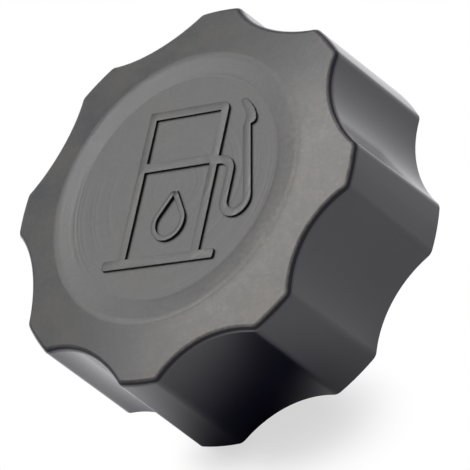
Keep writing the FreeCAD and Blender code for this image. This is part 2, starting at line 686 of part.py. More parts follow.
def make_all_parts():
    """Make every sub-part, from the cover inwards."""
    slip_top = f"({FLANGE_TOP} + washer_thickness)"
    housing_reach = "(housing_radius + housing_flange_reach)"
    vacuum_coil = "(stem_radius + vacuum_spring_gap + 0.5 * vacuum_wire)"
    return [
        make_grip_cover(),
        make_ratchet_ring(),
        make_ring("thrust_washer", f"({RING_OUTSIDE} + washer_gap)",
                  "(flange_radius - flange_bevel - fit_gap)", FLANGE_TOP, slip_top),
        make_closure_plug(),
        make_neck_gasket(),
        make_splash_baffle(),
        make_ring("housing_gasket", f"({TUBE_BORE} + fit_gap)", housing_reach, TUBE_TOP, HOUSING_FLANGE),
        make_valve_housing(),
        make_pressure_valve(),
        make_ring("pressure_valve_seal", SEAL_BORE, "(port_radius + seat_width + seal_overlap)",
                  SEAT_TOP, PLATE_BOTTOM),
        make_spring("pressure_spring", f"({SPRING_RIM} + spring_gap + 0.5 * spring_wire)", "spring_wire",
                    "spring_turns", PLATE_TOP, RETAINER_BOTTOM),
        make_spring_retainer(),
        make_ring("vent_filter", "0", f"({HOUSING_BORE} - fit_gap)", FILTER_BOTTOM, HOUSING_TOP),
        make_vacuum_valve(),
        make_ring("vacuum_valve_seal", "(stem_radius + fit_gap)", HEAD_RADIUS,
                  VACUUM_SEAL_BOTTOM, PLATE_BOTTOM),
        make_spring("vacuum_spring", vacuum_coil, "vacuum_wire", "vacuum_turns", PLATE_TOP, CAP_BOTTOM),
        make_ring("vacuum_spring_cap", "(stem_radius + fit_gap)",
                  f"({vacuum_coil} + 0.5 * vacuum_wire + cap_overlap)",
                  CAP_BOTTOM, f"{CAP_BOTTOM} + cap_thickness"),
    ]


parts = make_all_parts()
doc.recompute()
for item in doc.Objects:
    if "Invalid" in item.State or "Error" in item.State:
        raise RuntimeError(f"{item.Name} failed: {item.State}")
for part in parts:
    shape = part.Shape
    if shape.isNull() or not shape.isValid() or len(shape.Solids) != 1:
        raise RuntimeError(f"{part.Label} is not one valid solid")
os.makedirs("parts", exist_ok=True)
for part in parts:
    part.Shape.exportStep(f"parts/{part.Label}.step")
    print(part.Label, round(part.Shape.Volume), "cubic mm")
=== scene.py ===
import json
import math

import bmesh
import bpy
from mathutils import Matrix, Vector


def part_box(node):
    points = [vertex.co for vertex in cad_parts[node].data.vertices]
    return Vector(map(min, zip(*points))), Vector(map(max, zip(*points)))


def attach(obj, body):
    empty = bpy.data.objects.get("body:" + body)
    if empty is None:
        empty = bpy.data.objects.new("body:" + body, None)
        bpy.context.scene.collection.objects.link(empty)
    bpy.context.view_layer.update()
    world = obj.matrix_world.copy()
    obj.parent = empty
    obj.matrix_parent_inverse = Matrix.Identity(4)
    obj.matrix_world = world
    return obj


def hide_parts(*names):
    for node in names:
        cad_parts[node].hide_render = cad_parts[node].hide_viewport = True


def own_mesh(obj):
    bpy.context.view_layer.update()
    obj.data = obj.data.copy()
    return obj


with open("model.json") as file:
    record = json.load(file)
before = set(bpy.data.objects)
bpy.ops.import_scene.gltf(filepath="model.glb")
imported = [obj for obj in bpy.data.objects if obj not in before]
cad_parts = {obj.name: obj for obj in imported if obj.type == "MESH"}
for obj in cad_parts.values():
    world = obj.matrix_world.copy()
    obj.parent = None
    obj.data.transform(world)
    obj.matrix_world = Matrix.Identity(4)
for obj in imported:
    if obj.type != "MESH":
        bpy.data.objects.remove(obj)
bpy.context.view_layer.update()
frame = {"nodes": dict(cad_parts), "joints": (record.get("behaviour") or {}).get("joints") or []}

# Grip cover: one injection moulding of black polypropylene. Its tool is spark eroded to a satin
# grain, and handling has left the crown cloudy. One side of the crown carries a painted sheen.
# Snap lugs inside it hold the plug.
MM = 0.001


class Shade:
    """A material's nodes. Sums on what its methods return are written with Python's own signs."""

    def __init__(self, tree, socket=None):
        self.tree = tree
        self.socket = socket

    def node(self, kind, settings=None, inputs=None, output=0):
        """Add a node: its settings first, then the values or links of its sockets."""
        made = self.tree.nodes.new(kind)
        for name, value in (settings or {}).items():
            setattr(made, name, value)
        for name, value in (inputs or {}).items():
            if isinstance(value, Shade):
                self.tree.links.new(value.socket, made.inputs[name])
            else:
                made.inputs[name].default_value = value
        return Shade(self.tree, made.outputs[output] if made.outputs else None)

    def math(self, operation, *values):
        return self.node("ShaderNodeMath", {"operation": operation}, dict(enumerate(values)))

    def __add__(self, other):
        return self.math("ADD", self, other)

    def __radd__(self, other):
        return self.math("ADD", other, self)

    def __sub__(self, other):
        return self.math("SUBTRACT", self, other)

    def __rsub__(self, other):
        return self.math("SUBTRACT", other, self)

    def __mul__(self, other):
        return self.math("MULTIPLY", self, other)

    def __rmul__(self, other):
        return self.math("MULTIPLY", other, self)

    def between(self, low, high):
        """Rise smoothly from 0 to 1 as the value goes from low to high."""
        return self.node("ShaderNodeMapRange", {"interpolation_type": "SMOOTHSTEP"},
                         {"Value": self, "From Min": low, "From Max": high})

    def tint(self, first, second):
        """Mix two colours by the value. Sockets go by number, as the node repeats their names."""
        return self.node("ShaderNodeMix", {"data_type": "RGBA"}, {0: self, 6: first, 7: second}, 2)

    def place(self):
        """Return the point in the object's own metres."""
        return self.node("ShaderNodeTexCoord", output="Object")

    def stretched(self, scale):
        """Return the point with each axis scaled, so that a pattern is drawn out along some."""
        return self.node("ShaderNodeMapping", {"vector_type": "POINT"},
                         {"Vector": self.place(), "Scale": scale})

    def noise(self, size, detail=2.0, roughness=0.5, point=None):
        """Return cloudy noise whose blotches are about a size across, in metres."""
        return self.node("ShaderNodeTexNoise", {}, {
            "Vector": point or self.place(), "Scale": 1 / size,
            "Detail": detail, "Roughness": roughness})

    def bump(self, height, distance, strength, under=None):
        """Turn a height of 0 to 1 into relief of a distance, in metres."""
        inputs = {"Height": height, "Distance": distance, "Strength": strength}
        if under:
            inputs["Normal"] = under
        return self.node("ShaderNodeBump", {}, inputs)


def new_material(name, paint, **fixed):
    """Make a material: fixed values go on the shader, and paint returns those that vary."""
    material = bpy.data.materials.new(name)
    material.use_nodes = True
    tree = material.node_tree
    shader = tree.nodes["Principled BSDF"]
    for socket, value in fixed.items():
        shader.inputs[socket.replace("_", " ")].default_value = value
    for socket, value in paint(Shade(tree)).items():
        tree.links.new(value.socket, shader.inputs[socket.replace("_", " ")])
    return material


def dress(node, material):
    """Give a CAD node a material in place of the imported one."""
    mesh = frame["nodes"][node].data
    mesh.materials.clear()
    mesh.materials.append(material)


WALL_BLACK = (0.009, 0.008, 0.0235, 1)
INSIDE_BLACK = (0.012, 0.012, 0.0135, 1)
CROWN_BLACK = (0.030, 0.031, 0.036, 1)
CROWN_WARM = (0.036, 0.0355, 0.034, 1)
# The crown's pale colours mix dust and wear with a painted sheen
CROWN_WORN_SHEEN = (0.159, 0.149, 0.131, 1)
CROWN_DUSTY_SHEEN = (0.171, 0.150, 0.137, 1)
CREST = 27.5 * MM
CREST_TOP = 28.4 * MM
CROWN_FALL = 0.195
DISH_DEPTH = 0.7 * MM
RUBBED_AND_SHEEN_SIDE = (0.93, -0.37, 0)
SCUFF_GRAIN = (900, 60, 900)
WALL_ROUGH = 0.17
CROWN_ROUGH = 0.41
WALL_GLOSS = 0.35
# How much of the crown's wear and painted sheen shows, and of its flecks
WEAR_AND_SHEEN_SHARE = 0.72
FLECK_SHARE = 0.3


def paint_cover(shade):
    """Satin moulded plastic, clouded on the crown by handling and faintly ringed by its tool.
    One side of the crown carries a painted sheen.
    """
    height = shade.node("ShaderNodeSeparateXYZ", {}, {"Vector": shade.place()}, "Z")
    flat = shade.stretched((1, 1, 0))
    radius = shade.node("ShaderNodeVectorMath", {"operation": "LENGTH"}, {0: flat}, "Value")
    # The crown falls away outside its crest, so its height is levelled before its edge is found
    outside = shade.math("MAXIMUM", radius - CREST, 0.0) * CROWN_FALL
    in_dish = 1 - radius.between(CREST - MM, CREST)
    crown = (height + outside + in_dish * DISH_DEPTH).between(
        CREST_TOP - 0.2 * MM, CREST_TOP - 0.06 * MM)
    clouds = shade.noise(14 * MM, 4.0, 0.6)
    patches = shade.noise(4 * MM, 4.0, 0.7)
    mottle = shade.noise(1.0 * MM, 5.0, 0.75) - 0.5
    grain = shade.noise(0.42 * MM, 2.0, 0.7)
    # The tool's turning marks show as faint rings, stronger on some sides than on others
    around = shade.node("ShaderNodeCombineXYZ", {}, {"X": radius})
    rings = shade.noise(0.8 * MM, 3.0, 0.7, around) - 0.5
    rings = rings * crown * shade.noise(24 * MM, 1.0).between(0.35, 0.6)
    rings = rings * (1.4 - radius.between(CREST - MM, CREST + MM))
    scuffs = shade.noise(1.0, 2.0, 0.5, shade.stretched(SCUFF_GRAIN)).between(0.62, 0.75)
    # One side of the crown is painted lighter and warmer as a painted sheen, and fingers
    # rubbing that side leave dust mottled in its grain
    rubbed_and_sheen_side = shade.node("ShaderNodeVectorMath", {"operation": "DOT_PRODUCT"},
                        {0: flat, 1: RUBBED_AND_SHEEN_SIDE}, "Value").between(4 * MM, 28 * MM)
    rubbed_and_sheen_side = rubbed_and_sheen_side * radius.between(CREST - 5 * MM, CREST + 1.5 * MM)
    cloudy = (clouds * 0.8 + patches * 0.8).between(0.5, 1.1)
    specks = shade.noise(1.1 * MM, 3.0, 0.6).between(0.54, 0.74) * cloudy
    wear_and_sheen = rubbed_and_sheen_side * (cloudy * 0.5 + specks * 0.4 + mottle + 0.42) + cloudy * 0.2 + rings * 0.5
    flecks = shade.noise(1.5 * MM, 5.0, 0.7).between(0.5, 0.66) * rubbed_and_sheen_side * cloudy
    wear_and_sheen = (wear_and_sheen + mottle * 0.5) * WEAR_AND_SHEEN_SHARE + flecks * FLECK_SHARE
    # The crest between dish and brim is rubbed until no clear line is left on that side
    crest = 1 - shade.math("ABSOLUTE", radius - CREST).between(0.3 * MM, 1.6 * MM)
    # The ribs of the sign stand steeper than anything else on the crown, and their sides are kept
    # out of the crown's paint, so they stay dark as painted shade along the ribs
    lean = shade.node("ShaderNodeNewGeometry", output="True Normal")
    upright = shade.node("ShaderNodeSeparateXYZ", {}, {"Vector": lean}, "Z")
    level = shade.math("ABSOLUTE", upright).between(0.2, 0.6)
    crown = crown * level
    rough = WALL_ROUGH + crown * (CROWN_ROUGH - WALL_ROUGH) + (patches - 0.5) * 0.06
    rough = rough + (clouds - 0.5) * crown * 0.2
    rough = rough + (mottle * 0.16 + (grain - 0.5) * 0.16 + crest * rubbed_and_sheen_side * 0.1) * crown
    # The outside is a bluish black, and the inside, which faces in, a plain black
    facing = shade.node("ShaderNodeTexCoord", output="Normal")
    outward = shade.node("ShaderNodeVectorMath", {"operation": "DOT_PRODUCT"},
                         {0: facing, 1: flat}, "Value").between(5 * MM, 15 * MM)
    plain = outward.tint(INSIDE_BLACK, WALL_BLACK)
    bare_crown = clouds.between(0.35, 0.65).tint(CROWN_BLACK, CROWN_WARM)
    dust_and_sheen = patches.between(0.4, 0.6).tint(CROWN_WORN_SHEEN, CROWN_DUSTY_SHEEN)
    relief = shade.bump(grain, 0.01 * MM, 0.5)
    return {
        "Base_Color": crown.tint(plain, wear_and_sheen.tint(bare_crown, dust_and_sheen)),
        "Roughness": rough - rings * 0.5 - scuffs * crown * 0.05,
        "Coat_Weight": (1 - crown) * WALL_GLOSS,
        "Normal": shade.bump(rings, 0.03 * MM, 0.5, relief),
    }


cover_plastic = new_material("cover_plastic", paint_cover, IOR=1.53, Coat_Roughness=0.17)
dress("grip_cover", cover_plastic)

# Pump sign: raised ribs of the same moulding on the floor of the dish, with drafted sides and
# rounded tops. It shows a fuel pump with its hose, and a plain drop under the pump's window.


def line_face(bm, low, high):
    """Add one flat rectangle between two corners."""
    corners = ((low[0], low[1]), (high[0], low[1]), (high[0], high[1]), (low[0], high[1]))
    return bm.faces.new([bm.verts.new((x, y, 0)) for x, y in corners])


def cut_at(bm, axis, places):
    """Divide the flat faces along lines across an axis."""
    for place in places:
        normal = Vector((0, 0, 0))
        normal[axis] = 1
        bmesh.ops.bisect_plane(bm, geom=bm.faces[:] + bm.edges[:] + bm.verts[:],
                               dist=TOUCHING, plane_co=normal * place, plane_no=normal)


def raise_ribs(bm, foot, rise, side_in, top_round):
    """Raise every flat face into a closed rib from a foot, with a draft and a rounded top."""
    bmesh.ops.recalc_face_normals(bm, faces=bm.faces)
    if bm.faces[0].normal.z > 0:
        bmesh.ops.reverse_faces(bm, faces=bm.faces)
    raised = bmesh.ops.extrude_face_region(bm, geom=bm.faces[:])
    tops = [item for item in raised["geom"] if isinstance(item, bmesh.types.BMFace)]
    points = [item for item in raised["geom"] if isinstance(item, bmesh.types.BMVert)]
    bmesh.ops.translate(bm, verts=bm.verts, vec=(0, 0, foot))
    straight = 0.1 * rise
    bmesh.ops.translate(bm, verts=points, vec=(0, 0, straight))
    bmesh.ops.recalc_face_normals(bm, faces=bm.faces)
    for inward, upward in (
            (side_in, rise - straight - top_round),
            (0.3 * top_round, 0.7 * top_round),
            (0.7 * top_round, 0.3 * top_round)):
        bmesh.ops.inset_region(bm, faces=tops, thickness=inward, depth=upward,
                               use_even_offset=True, use_boundary=True)


def smooth_over(bm, limit=math.radians(30)):
    """Shade faces smooth, but keep edges that turn by more than a limit crisp."""
    for face in bm.faces:
        face.smooth = True
    for edge in bm.edges:
        edge.smooth = len(edge.link_faces) == 2 and edge.calc_face_angle(0) < limit


def new_piece(name, bm, material, body):
    """Turn a bmesh into a piece that rides on a body and takes a material."""
    mesh = bpy.data.meshes.new(name)
    bm.to_mesh(mesh)
    bm.free()
    mesh.materials.append(material)
    piece = bpy.data.objects.new(name, mesh)
    bpy.context.scene.collection.objects.link(piece)
    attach(piece, body)
    return piece


SIGN_FOOT = 27.55 * MM
SIGN_RISE = 0.78 * MM
SIDE_IN = 0.04 * MM
TOP_ROUND = 0.06 * MM
POST_LEFT = (-9.35 * MM, -7.55 * MM)
POST_RIGHT = (7.65 * MM, 9.55 * MM)
BASE_ENDS = (-12.85 * MM, 13.1 * MM)
BASE_BAR = (-16.3 * MM, -14.3 * MM)
CROSS_BAR = (3.55 * MM, 5.45 * MM)
TOP_BAR = (14.65 * MM, 16.45 * MM)
HOSE_EDGES = (3.05 * MM, 4.85 * MM)
HOSE_BEND = Vector((10.2 * MM, 1.3 * MM, 0))
HOSE_LOOP = Vector((15.5 * MM, -4.8 * MM, 0))
HOSE_LEAN = math.radians(13.3)
HOSE_RUN = 15.0 * MM
CORNER_ROUND = 1.7 * MM
BAR_END_ROUND = 0.5 * MM
TOUCHING = 1e-7
# Left and right points across the nozzle, from the hose to the spout's tip
NOZZLE = (
    ((13.9, 10.8), (16.3, 11.0)),
    ((13.95, 11.3), (16.5, 11.6)),
    ((13.95, 12.4), (16.3, 12.6)),
    ((13.6, 13.5), (15.6, 13.9)),
    ((12.8, 14.6), (14.6, 15.1)),
    ((12.15, 15.6), (13.3, 16.3)),
    ((12.1, 16.0), (12.7, 16.5)),
)

sign = bmesh.new()
line_face(sign, (BASE_ENDS[0], BASE_BAR[0]), (BASE_ENDS[1], TOP_BAR[1]))
cut_at(sign, 0, POST_LEFT + POST_RIGHT)
cut_at(sign, 1, (BASE_BAR[1],) + CROSS_BAR + TOP_BAR[:1] + HOSE_EDGES)


def on_sign(centre):
    """Tell whether a point of the grid lies on a bar or a post."""
    if centre.y < BASE_BAR[1]:
        return True
    if not POST_LEFT[0] < centre.x < POST_RIGHT[1]:
        return False
    on_post = centre.x < POST_LEFT[1] or centre.x > POST_RIGHT[0]
    on_bar = CROSS_BAR[0] < centre.y < CROSS_BAR[1] or centre.y > TOP_BAR[0]
    return on_post or on_bar


spare = [face for face in sign.faces if not on_sign(face.calc_center_median())]
bmesh.ops.delete(sign, geom=spare, context="FACES")


def corner(bm, x, y):
    """Return the flat outline's vertex nearest to a point."""
    bm.verts.ensure_lookup_table()
    return min(bm.verts, key=lambda vert: (vert.co - Vector((x, y, 0))).length)


bmesh.ops.bevel(sign, geom=[corner(sign, POST_RIGHT[1], TOP_BAR[1])], offset=CORNER_ROUND,
                affect="VERTICES", segments=5, profile=0.5, material=-1)
for end_x in BASE_ENDS:
    for end_y in BASE_BAR:
        bmesh.ops.bevel(sign, geom=[corner(sign, end_x, end_y)], offset=BAR_END_ROUND,
                        affect="VERTICES", segments=3, profile=0.5, material=-1)

# The hose leaves the post as a ribbon, which is drawn on, bent, looped and widened to the nozzle


def draw_on(bm, edge, move):
    """Extrude an edge by a move and return the new edge."""
    made = bmesh.ops.extrude_edge_only(bm, edges=[edge])["geom"]
    verts = [item for item in made if isinstance(item, bmesh.types.BMVert)]
    bmesh.ops.translate(bm, verts=verts, vec=move)
    return next(item for item in made if isinstance(item, bmesh.types.BMEdge)
                and item.verts[0] in verts and item.verts[1] in verts)


def bend(bm, edge, centre, angle, steps):
    """Spin an edge about an upright axis and return the last edge."""
    made = bmesh.ops.spin(bm, geom=[edge] + list(edge.verts), cent=centre, axis=(0, 0, 1),
                          angle=angle, steps=steps, dvec=(0, 0, 0))["geom_last"]
    return next(item for item in made if isinstance(item, bmesh.types.BMEdge))


bmesh.ops.dissolve_verts(sign, verts=[corner(sign, POST_RIGHT[1], CROSS_BAR[0])])
start = next(edge for edge in sign.edges
             if all(abs(vert.co.x - POST_RIGHT[1]) < TOUCHING for vert in edge.verts)
             and abs(edge.verts[0].co.y + edge.verts[1].co.y - sum(HOSE_EDGES)) < TOUCHING)
hose = draw_on(sign, start, (HOSE_BEND.x - POST_RIGHT[1], 0, 0))
hose = bend(sign, hose, HOSE_BEND, -math.radians(90), 8)
hose = draw_on(sign, hose, (0, HOSE_LOOP.y - HOSE_BEND.y, 0))
hose = bend(sign, hose, HOSE_LOOP, math.radians(180) + HOSE_LEAN, 18)
hose = draw_on(sign, hose, (-math.sin(HOSE_LEAN) * HOSE_RUN, math.cos(HOSE_LEAN) * HOSE_RUN, 0))
for left, right in NOZZLE:
    hose = draw_on(sign, hose, (0, 0, 0))
    for vert, point in zip(sorted(hose.verts, key=lambda vert: vert.co.x), (left, right)):
        vert.co = Vector((point[0] * MM, point[1] * MM, 0))

# The drop is a circle whose upper part is drawn up along two tangents to a point
DROP_CENTRE = Vector((0.7 * MM, -7.6 * MM, 0))
DROP_RADIUS = 3.9 * MM
DROP_HEIGHT = 7.6 * MM
DROP_LINE = 1.15 * MM
drop = bmesh.new()
bmesh.ops.create_circle(drop, cap_ends=True, radius=DROP_RADIUS, segments=48)
touch = math.asin(DROP_RADIUS / DROP_HEIGHT)
for vert in drop.verts:
    share = (math.atan2(vert.co.y, abs(vert.co.x)) - touch) / (math.radians(90) - touch)
    if share > 0:
        side = math.copysign(math.cos(touch), vert.co.x) * (1 - share)
        vert.co.x = side * DROP_RADIUS
        vert.co.y = math.sin(touch) * DROP_RADIUS * (1 - share) + DROP_HEIGHT * share
bmesh.ops.translate(drop, verts=drop.verts, vec=DROP_CENTRE)
middle = drop.faces[:]
bmesh.ops.inset_region(drop, faces=middle, thickness=DROP_LINE, use_even_offset=True,
                       use_boundary=True)
bmesh.ops.delete(drop, geom=middle, context="FACES_ONLY")

for ribs in (sign, drop):
    bmesh.ops.remove_doubles(ribs, verts=ribs.verts, dist=TOUCHING)
    raise_ribs(ribs, SIGN_FOOT, SIGN_RISE, SIDE_IN, TOP_ROUND)
drop_mesh = bpy.data.meshes.new("drop")
drop.to_mesh(drop_mesh)
drop.free()
sign.from_mesh(drop_mesh)
bpy.data.meshes.remove(drop_mesh)
smooth_over(sign, math.radians(50))
new_piece("pump_sign", sign, cover_plastic, "cover")

# Closure plug: one moulding of black polyamide, held in the cover by its flange. Its coarse thread
# has a trapezoid section with chamfered corners, and runs out softly at both ends.
PLUG_BLACK = (0.018, 0.018, 0.019, 1)
PLUG_CLOUDED = (0.03, 0.03, 0.031, 1)


def paint_plug(shade):
    """Semi-matt polyamide with a fine even grain and slight flow clouds."""
    clouds = shade.noise(9 * MM, 3.0)
    grain = shade.noise(0.18 * MM, 2.0, 0.6)
    return {
        "Base_Color": clouds.tint(PLUG_BLACK, PLUG_CLOUDED),
        "Roughness": 0.42 + clouds * 0.12,
        "Normal": shade.bump(grain, 0.01 * MM, 0.5),
    }


plug_plastic = new_material("plug_plastic", paint_plug, IOR=1.53)

THREAD_CREST = 22.0 * MM
THREAD_DEPTH = 1.0 * MM
THREAD_FROM = 2.3 * MM
THREAD_TO = 12.4 * MM
THREAD_PITCH = 3.5 * MM
THREAD_FOOT_WIDTH = 2.0 * MM
THREAD_CREST_WIDTH = 0.9 * MM
THREAD_END_GAP = 0.3 * MM
THREAD_CHAMFER = 0.15 * MM
CREST_SLOPE = 0.1 * MM
RIDGE_SUNK = 0.3 * MM
RUN_OUT = math.radians(40)
REACH_AT_ENDS = 0.25
NEAR = 0.02 * MM
WELD = 1e-6
STEPS_ROUND = 96

plug = bmesh.new()
plug.from_mesh(frame["nodes"]["closure_plug"].data)
bmesh.ops.remove_doubles(plug, verts=plug.verts, dist=WELD)
for vert in plug.verts:
    out = math.hypot(vert.co.x, vert.co.y)
    if abs(out - THREAD_CREST) < NEAR and THREAD_FROM - NEAR < vert.co.z < THREAD_TO + NEAR:
        shrink = (THREAD_CREST - THREAD_DEPTH) / out
        vert.co.x *= shrink
        vert.co.y *= shrink

# The ridge is a section spun up a helix, and over a stretch at each end it fades into the core
root = THREAD_CREST - THREAD_DEPTH - RIDGE_SUNK
turns = (THREAD_TO - THREAD_FROM - THREAD_FOOT_WIDTH - 2 * THREAD_END_GAP) / THREAD_PITCH
steps = round(turns * STEPS_ROUND)
lowest = THREAD_FROM + THREAD_END_GAP + THREAD_FOOT_WIDTH / 2
half_foot = THREAD_FOOT_WIDTH / 2
half_crest = THREAD_CREST_WIDTH / 2
section = [plug.verts.new((reach, 0, lowest + side)) for reach, side in (
    (root, -half_foot),
    (THREAD_CREST - THREAD_DEPTH, -half_foot),
    (THREAD_CREST - THREAD_CHAMFER, -half_crest - CREST_SLOPE),
    (THREAD_CREST, -half_crest + THREAD_CHAMFER),
    (THREAD_CREST, half_crest - THREAD_CHAMFER),
    (THREAD_CREST - THREAD_CHAMFER, half_crest + CREST_SLOPE),
    (THREAD_CREST - THREAD_DEPTH, half_foot),
    (root, half_foot),
)]
cap = plug.faces.new(section)
bmesh.ops.spin(plug, geom=[cap], cent=(0, 0, 0), axis=(0, 0, 1),
               dvec=(0, 0, turns * THREAD_PITCH / steps), angle=turns * math.tau, steps=steps)
ridge = set()
front = set(section)
while front:
    ridge |= front
    front = {edge.other_vert(vert) for vert in front for edge in vert.link_edges} - ridge
for vert in ridge:
    climbed = (vert.co.z - lowest) / THREAD_PITCH * math.tau
    turned = math.atan2(vert.co.y, vert.co.x)
    along = turned + math.tau * round((climbed - turned) / math.tau)
    fade = min(1, max(0, min(along, turns * math.tau - along) / RUN_OUT))
    out = math.hypot(vert.co.x, vert.co.y)
    reach = REACH_AT_ENDS + (1 - REACH_AT_ENDS) * math.sin(fade * math.pi / 2)
    level = root + (out - root) * reach
    vert.co.x *= level / out
    vert.co.y *= level / out
ridge_faces = list({face for vert in ridge for face in vert.link_faces})
bmesh.ops.recalc_face_normals(plug, faces=ridge_faces)
smooth_over(plug)
threaded_plug = new_piece("threaded_plug", plug, plug_plastic, "plug")
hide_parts("closure_plug")

# Ratchet ring and slip washer: natural white acetal, slippery and slightly translucent. The ring
# is moulded and keyed to the plug's hub, and the washer lies loose on the plug's flange.
ACETAL_MILKY = (0.74, 0.73, 0.68, 1)
ACETAL_WHITE = (0.8, 0.79, 0.75, 1)


def paint_acetal(shade):
    """Waxy white plastic with faint flow clouds."""
    clouds = shade.noise(6 * MM, 2.0)
    return {
        "Base_Color": clouds.tint(ACETAL_MILKY, ACETAL_WHITE),
        "Roughness": 0.3 + clouds * 0.12,
        "Normal": shade.bump(shade.noise(0.25 * MM), 0.006 * MM, 0.4),
    }


acetal = new_material("acetal", paint_acetal, IOR=1.48, Subsurface_Weight=0.15,
                      Subsurface_Scale=0.6 * MM)
for node in ("ratchet_ring", "thrust_washer"):
    dress(node, acetal)

# Gaskets and valve seals: black nitrile rubber, cured in a matt tool. Their seats clamp or stretch
# them, and nothing is glued.
RUBBER_BLACK = (0.014, 0.014, 0.014, 1)
RUBBER_BLOOM = (0.03, 0.03, 0.029, 1)


def paint_rubber(shade):
    """Matt rubber with a fine grain and a thin pale bloom in patches."""
    bloom = shade.noise(7 * MM, 4.0, 0.6).between(0.45, 0.75)
    grain = shade.noise(0.12 * MM, 2.0, 0.7)
    return {
        "Base_Color": bloom.tint(RUBBER_BLACK, RUBBER_BLOOM),
        "Roughness": 0.62 + bloom * 0.15,
        "Normal": shade.bump(grain, 0.015 * MM, 0.6),
    }


fuel_rubber = new_material("fuel_rubber", paint_rubber, IOR=1.5)
for node in ("neck_gasket", "housing_gasket", "pressure_valve_seal", "vacuum_valve_seal"):
    dress(node, fuel_rubber)

# Splash baffle: a small slotted cup moulded of black polyamide, a shade greyer than the plug, and
# pressed into the foot of the valve tube.
BAFFLE_BLACK = (0.04, 0.04, 0.042, 1)
BAFFLE_GREY = (0.055, 0.055, 0.057, 1)


def paint_baffle(shade):
    """Semi-matt polyamide with a fine grain."""
    clouds = shade.noise(5 * MM, 3.0)
    return {
        "Base_Color": clouds.tint(BAFFLE_BLACK, BAFFLE_GREY),
        "Roughness": 0.4 + clouds * 0.14,
        "Normal": shade.bump(shade.noise(0.2 * MM), 0.01 * MM, 0.5),
    }


dress("splash_baffle", new_material("baffle_plastic", paint_baffle, IOR=1.53))

# Valve housing, valves and spring retainer: grey acetal mouldings that fuel doesn't swell. The
# housing and the retainer are pressed in, and the two valves slide.
VALVE_GREY = (0.29, 0.3, 0.31, 1)
VALVE_PALE = (0.35, 0.36, 0.37, 1)


def paint_valve(shade):
    """Grey acetal with faint flow clouds."""
    clouds = shade.noise(4 * MM, 3.0)
    return {
        "Base_Color": clouds.tint(VALVE_GREY, VALVE_PALE),
        "Roughness": 0.34 + clouds * 0.12,
        "Normal": shade.bump(shade.noise(0.2 * MM), 0.006 * MM, 0.4),
    }


valve_plastic = new_material("valve_plastic", paint_valve, IOR=1.48)
for node in ("valve_housing", "spring_retainer", "pressure_valve", "vacuum_valve"):
    dress(node, valve_plastic)

# Vent filter: a disc cut from open-cell foam, which lies on the spring retainer and keeps dust off
# the valves.
FOAM_CELL = 0.6 * MM
# Pits are painted dark, as shade in the open cells
FOAM_PIT_SHADE = (0.05, 0.05, 0.048, 1)
FOAM_STRUT = (0.2, 0.2, 0.19, 1)


def paint_foam(shade):
    """Open cells as small pits between pale struts, with painted shade in the pits."""
    cells = shade.node("ShaderNodeTexVoronoi", {"feature": "DISTANCE_TO_EDGE"},
                       {"Vector": shade.place(), "Scale": 1 / FOAM_CELL})
    struts = 1 - cells.between(0.02, 0.18)
    return {
        "Base_Color": struts.tint(FOAM_PIT_SHADE, FOAM_STRUT),
        "Roughness": 0.8 + struts * 0.1,
        "Normal": shade.bump(struts, 0.2 * MM, 0.9),
    }


dress("vent_filter", new_material("filter_foam", paint_foam))

# Springs and spring cap: bright stainless steel. The springs are wound of drawn wire, and the cap
# is blanked from strip and pushed onto the vacuum valve's stem.
DRAW_LINES = (500, 500, 6000)
STEEL_DULL = (0.5, 0.5, 0.49, 1)
STEEL_BRIGHT = (0.62, 0.62, 0.6, 1)


def paint_steel(shade):
    """Bright steel with fine draw lines."""
    lines = shade.noise(1.0, 3.0, 0.6, shade.stretched(DRAW_LINES))
    return {
        "Base_Color": lines.tint(STEEL_DULL, STEEL_BRIGHT),
        "Roughness": 0.2 + lines * 0.15,
        "Normal": shade.bump(lines, 0.004 * MM, 0.4),
    }


spring_steel = new_material("spring_steel", paint_steel, Metallic=1.0)
dress("vacuum_spring_cap", spring_steel)


def coil_that_shortens(name, node, body, joint):
    """Stand in for a CAD spring with a smoothed copy of it that rides on a body."""
    coil = bmesh.new()
    coil.from_mesh(frame["nodes"][node].data)
    bmesh.ops.remove_doubles(coil, verts=coil.verts, dist=WELD)
    smooth_over(coil, math.radians(50))
    piece = new_piece(name, coil, spring_steel, body)
    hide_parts(node)
    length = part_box(node)[1].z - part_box(node)[0].z
    travel = next(item["range_m"][1] for item in frame["joints"] if item["name"] == joint)
    1 - travel / length
    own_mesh(piece)


coil_that_shortens("pressure_coil", "pressure_spring", "plug", "pressure_lift")
coil_that_shortens("vacuum_coil", "vacuum_spring", "pressure_valve", "vacuum_drop")

# Floor: a white table with a hole under the cap. Lamps shine through it, so that the one below
# lights the cap's inside. Camera rays fade out to the white world, and see through it from below.
FLOOR_HOLE = 33 * MM
FLOOR_EDGE = 1.5
FLOOR_DROP = 0.1 * MM
FADE_FROM = 90 * MM
FADE_TO = 190 * MM
TABLE_WHITE = (0.9, 0.9, 0.9, 1)
# Three dark ovals lie in front of the cap: a painted shadow and a tighter one at its foot, in
# which the camera sees more of the paper's own shading, and a painted dark patch that only its
# walls mirror. Each has a middle, a share at which each axis counts, and a reach.
SHADOW_AT = (15 * MM, -37 * MM)
SHADOW_SHARES = (0.52, 1)
SHADOW_WITHIN = 4 * MM
SHADOW_TO = 15 * MM
SHADOW_WHITE = 0.63
FOOT_AT = (-1 * MM, -42 * MM)
FOOT_SHARES = (0.6, 1)
FOOT_SHADOW = 7 * MM
FOOT_WHITE = 0.74
DARK_AT = (6 * MM, -40 * MM)
DARK_SHARES = (0.9, 1.1)
DARK_WITHIN = 5 * MM
DARK_TO = 38 * MM
MIRROR_SHARE = 0.9
MIRROR_TINT = (1, 0.99, 1.01, 1)
floor_ring = bmesh.new()
bmesh.ops.create_circle(floor_ring, radius=FLOOR_HOLE, segments=96)
outer = bmesh.ops.extrude_edge_only(floor_ring, edges=floor_ring.edges[:])["geom"]
outer = [item for item in outer if isinstance(item, bmesh.types.BMVert)]
